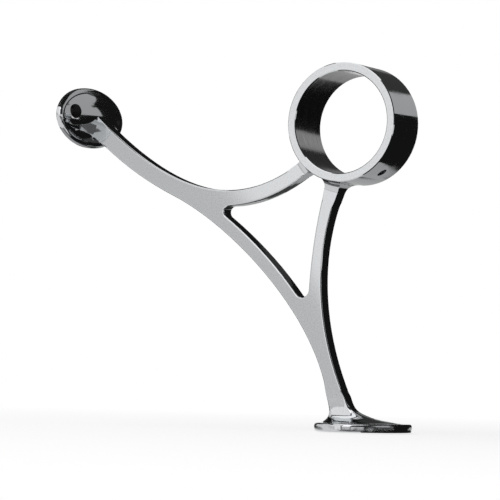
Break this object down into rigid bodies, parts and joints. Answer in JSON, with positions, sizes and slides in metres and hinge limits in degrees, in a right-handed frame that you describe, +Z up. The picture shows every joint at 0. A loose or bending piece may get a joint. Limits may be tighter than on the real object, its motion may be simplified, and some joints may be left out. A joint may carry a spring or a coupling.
{
  "type": "foot rail bracket",
  "caption": "Polished cast bracket with a ring collar for a foot rail tube, a forked curved arm to an oval wall flange and a leg to an oval floor flange.",
  "frame": {"origin": "centre of the floor flange's underside", "axes": "+Z up, +X away from the wall, Y along the rail tube"},
  "size_m": [0.1902, 0.062, 0.1828],
  "materials": {
    "polished_chrome": "polished and chrome plated casting",
    "screw_steel": "plain turned steel"
  },
  "bodies": {
    "root": {"bracket_casting": "polished_chrome", "set_screw": "screw_steel"}
  },
  "joints": []
}
